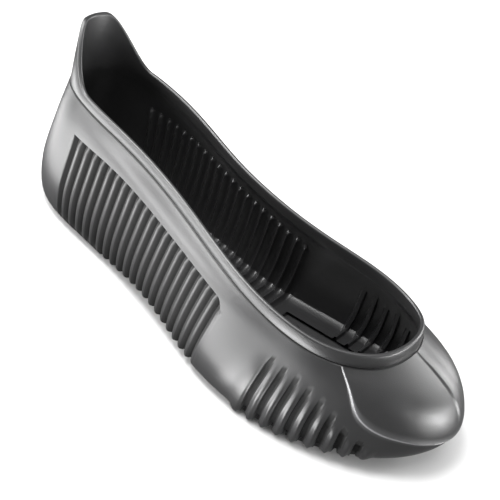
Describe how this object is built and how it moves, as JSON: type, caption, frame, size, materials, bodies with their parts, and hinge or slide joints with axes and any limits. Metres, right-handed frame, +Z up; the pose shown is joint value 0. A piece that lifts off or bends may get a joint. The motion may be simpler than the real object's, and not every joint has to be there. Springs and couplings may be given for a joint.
{
  "type": "rubber overshoe",
  "caption": "Slip-on rubber overshoe for the right foot, with a ribbed waist, rolled collar, heel pull tab, toe cap and lugged tread pads.",
  "frame": {"origin": "middle of the part's box, on the floor that it stands on", "axes": "+X from heel to toe, +Y towards the inner side of the foot, +Z up"},
  "size_m": [0.2754, 0.107, 0.104],
  "materials": {
    "body_rubber": "satin black moulded rubber",
    "tread_rubber": "dull black tread rubber"
  },
  "bodies": {
    "root": {"upper": "body_rubber", "forefoot_outsole": "tread_rubber", "heel_outsole": "tread_rubber"}
  },
  "joints": []
}
